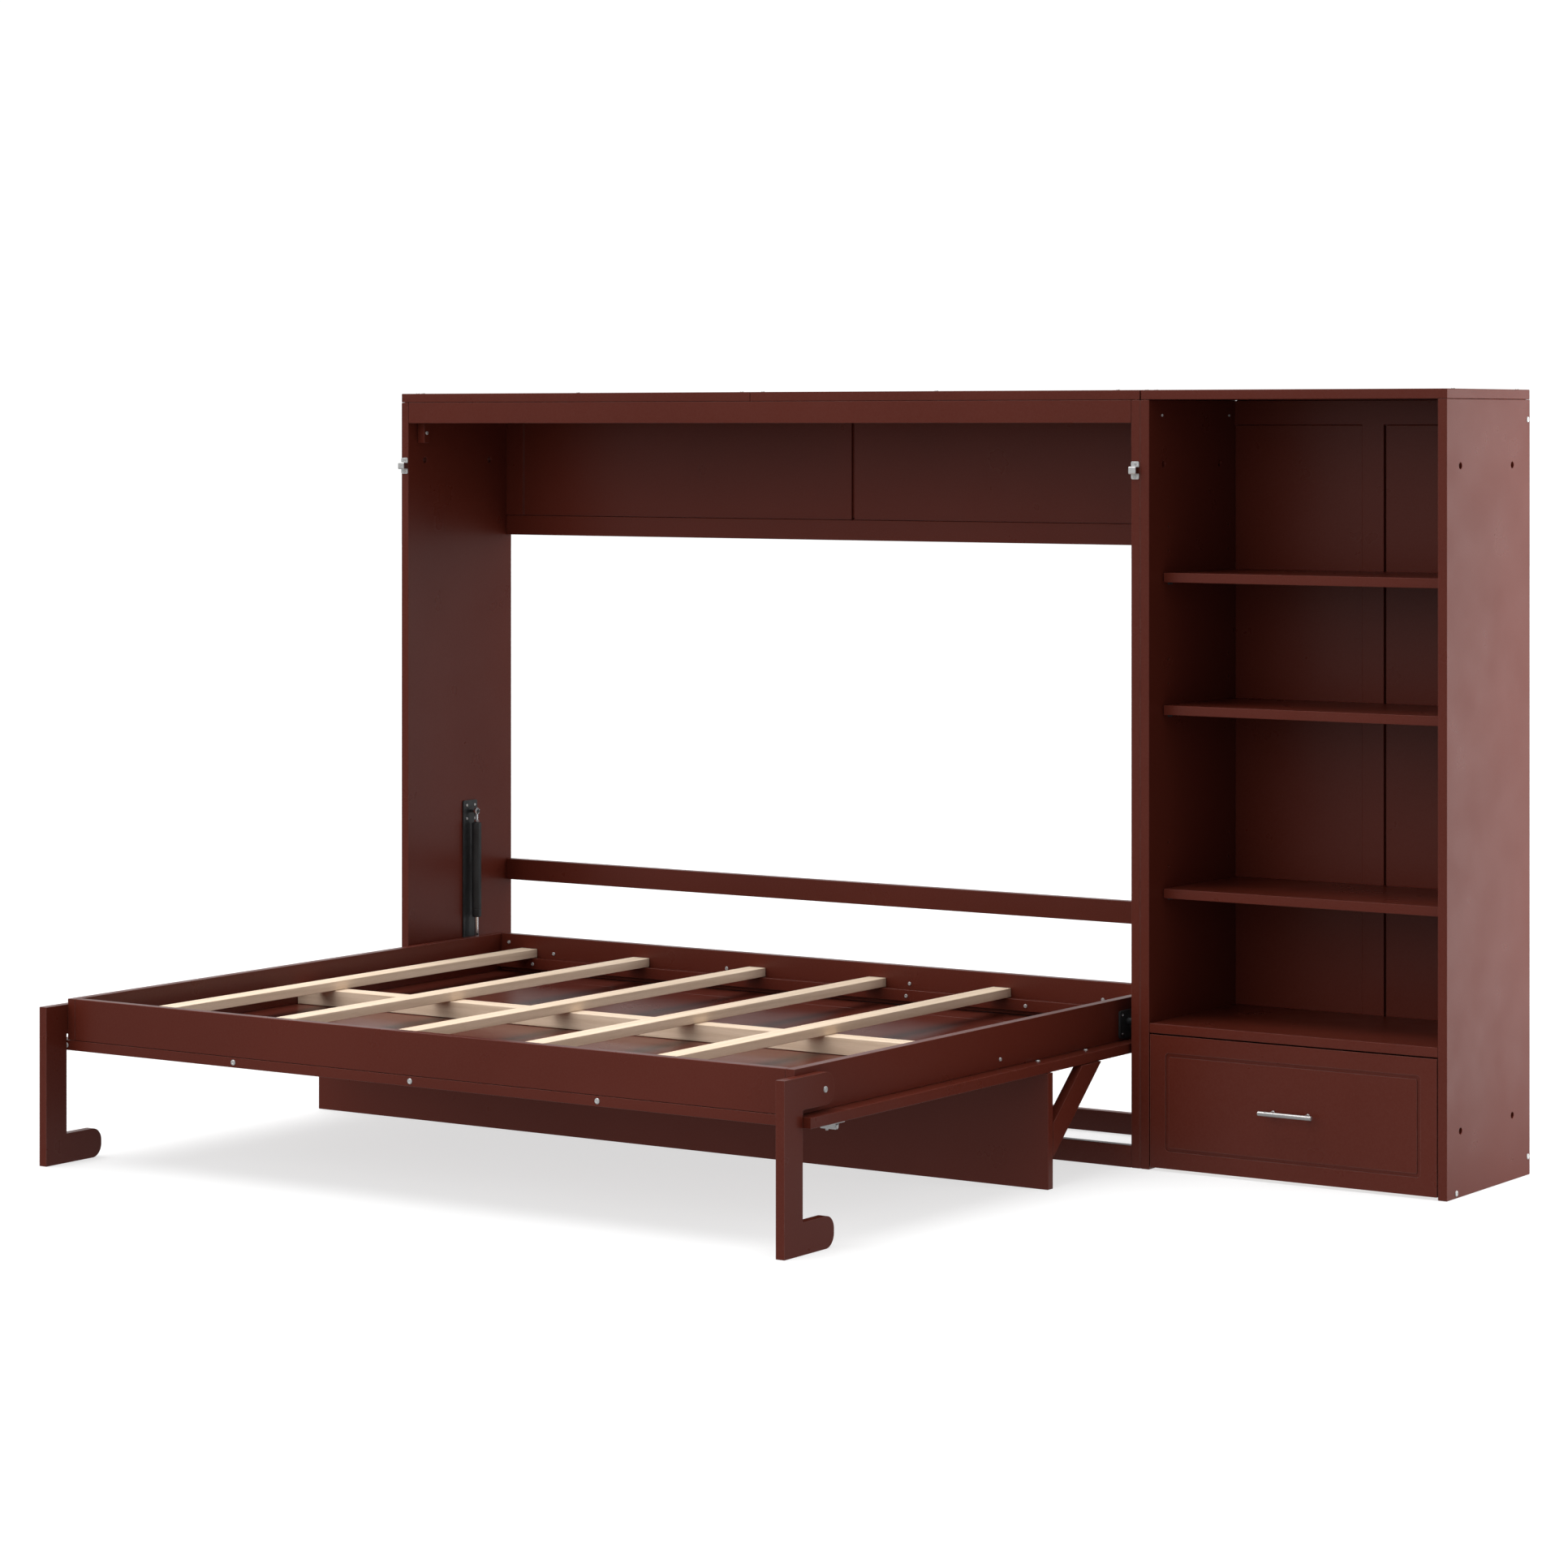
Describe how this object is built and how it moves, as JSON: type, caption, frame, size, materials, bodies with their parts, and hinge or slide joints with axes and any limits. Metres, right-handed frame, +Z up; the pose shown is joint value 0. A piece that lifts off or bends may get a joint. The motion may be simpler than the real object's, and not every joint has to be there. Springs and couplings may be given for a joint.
{
  "type": "wall bed with shelf case",
  "caption": "Horizontal fold-down wall bed in a framed bay with a slatted base, folding legs, gas struts and a fold-out desk board, beside an open shelf case with a drawer.",
  "frame": {"origin": "on the floor, under the middle of the object's box with the bed let down", "axes": "+Z up, +Y towards the wall behind the bed, +X towards the shelf case, along the width"},
  "size_m": [2.8478, 1.7588, 1.7297],
  "materials": {
    "painted_wood": "reddish-brown satin paint over wood fibre board and solid wood",
    "pine": "bare pale softwood with fine grain",
    "black_steel": "black powder coat, satin",
    "chrome": "polished chrome rod",
    "zinc_steel": "bright zinc plate",
    "brushed_steel": "brushed steel, satin"
  },
  "bodies": {
    "cabinet": {"bay_left_panel": "painted_wood", "bay_right_panel": "painted_wood", "bay_top_left": "painted_wood", "bay_top_right": "painted_wood", "front_fascia": "painted_wood", "front_bottom_rail": "painted_wood", "back_bottom_rail": "painted_wood", "back_middle_rail": "painted_wood", "upper_back_rail": "painted_wood", "upper_back_left": "painted_wood", "upper_back_right": "painted_wood", "stop_block_left": "painted_wood", "stop_block_right": "painted_wood", "pivot_plate_left": "black_steel", "pivot_plate_right": "black_steel", "keeper_left": "zinc_steel", "keeper_right": "zinc_steel", "bookcase_left_panel": "painted_wood", "bookcase_right_panel": "painted_wood", "bookcase_top": "painted_wood", "fixed_shelf": "painted_wood", "bookcase_back_left": "painted_wood", "bookcase_back_right": "painted_wood", "bookcase_back_frame": "painted_wood", "shelf_upper": "painted_wood", "shelf_middle": "painted_wood", "shelf_lower": "painted_wood"},
    "bed": {"bed_front_rail": "painted_wood", "bed_back_rail": "painted_wood", "bed_left_rail": "painted_wood", "bed_right_rail": "painted_wood", "face_panel": "painted_wood", "slat_ledger_front": "painted_wood", "slat_ledger_back": "painted_wood", "centre_beam": "pine", "slat_1": "pine", "slat_2": "pine", "slat_3": "pine", "slat_4": "pine", "slat_5": "pine", "slat_6": "pine", "desk_board": "painted_wood", "desk_brace_left": "painted_wood", "desk_brace_right": "painted_wood", "bed_plate_left": "black_steel", "bed_plate_right": "black_steel"},
    "drawer": {"drawer_front": "painted_wood", "drawer_left_side": "pine", "drawer_right_side": "pine", "drawer_back": "pine", "drawer_bottom": "pine", "drawer_handle": "brushed_steel"},
    "leg_left": {"leg_left": "painted_wood"},
    "strut_left": {"strut_tube_left": "black_steel"},
    "rod_left": {"strut_rod_left": "chrome"},
    "latch_left": {"latch_bolt_left": "zinc_steel"},
    "leg_right": {"leg_right": "painted_wood"},
    "strut_right": {"strut_tube_right": "black_steel"},
    "rod_right": {"strut_rod_right": "chrome"},
    "latch_right": {"latch_bolt_right": "zinc_steel"}
  },
  "joints": [
    {"name": "bed_tilt", "type": "hinge", "parent": "cabinet", "child": "bed", "pos_m": [-0.374, 0.52407, 0.31585], "axis": [-1, 0, 0], "range_deg": [0, 85]},
    {"name": "leg_left_fold", "type": "hinge", "parent": "bed", "child": "leg_left", "pos_m": [-1.3651, -0.73242, 0.32035], "axis": [-1, 0, 0], "range_deg": [0, 180]},
    {"name": "strut_left_swing", "type": "hinge", "parent": "cabinet", "child": "strut_left", "pos_m": [-1.378, 0.70357, 0.67685], "axis": [-1, 0, 0], "range_deg": [0, 16.4]},
    {"name": "rod_left_slide", "type": "slide", "parent": "strut_left", "child": "rod_left", "axis": [0, 0, -1], "range_m": [0, 0.208]},
    {"name": "latch_left_slide", "type": "slide", "parent": "bed", "child": "latch_left", "axis": [-1, 0, 0], "range_m": [0, 0.024]},
    {"name": "leg_right_fold", "type": "hinge", "parent": "bed", "child": "leg_right", "pos_m": [0.6171, -0.73242, 0.32035], "axis": [-1, 0, 0], "range_deg": [0, 180]},
    {"name": "strut_right_swing", "type": "hinge", "parent": "cabinet", "child": "strut_right", "pos_m": [0.63, 0.70357, 0.67685], "axis": [-1, 0, 0], "range_deg": [0, 16.4]},
    {"name": "rod_right_slide", "type": "slide", "parent": "strut_right", "child": "rod_right", "axis": [0, 0, -1], "range_m": [0, 0.208]},
    {"name": "latch_right_slide", "type": "slide", "parent": "bed", "child": "latch_right", "axis": [1, 0, 0], "range_m": [0, 0.024]},
    {"name": "drawer_slide", "type": "slide", "parent": "cabinet", "child": "drawer", "axis": [0, -1, 0], "range_m": [0, 0.26]}
  ],
  "couplings": [
    {"joint": "strut_left_swing", "follows": "bed_tilt", "ratio": 0.19197},
    {"joint": "rod_left_slide", "follows": "bed_tilt", "m_per_rad": 0.13948},
    {"joint": "strut_right_swing", "follows": "bed_tilt", "ratio": 0.19197},
    {"joint": "rod_right_slide", "follows": "bed_tilt", "m_per_rad": 0.13948}
  ]
}
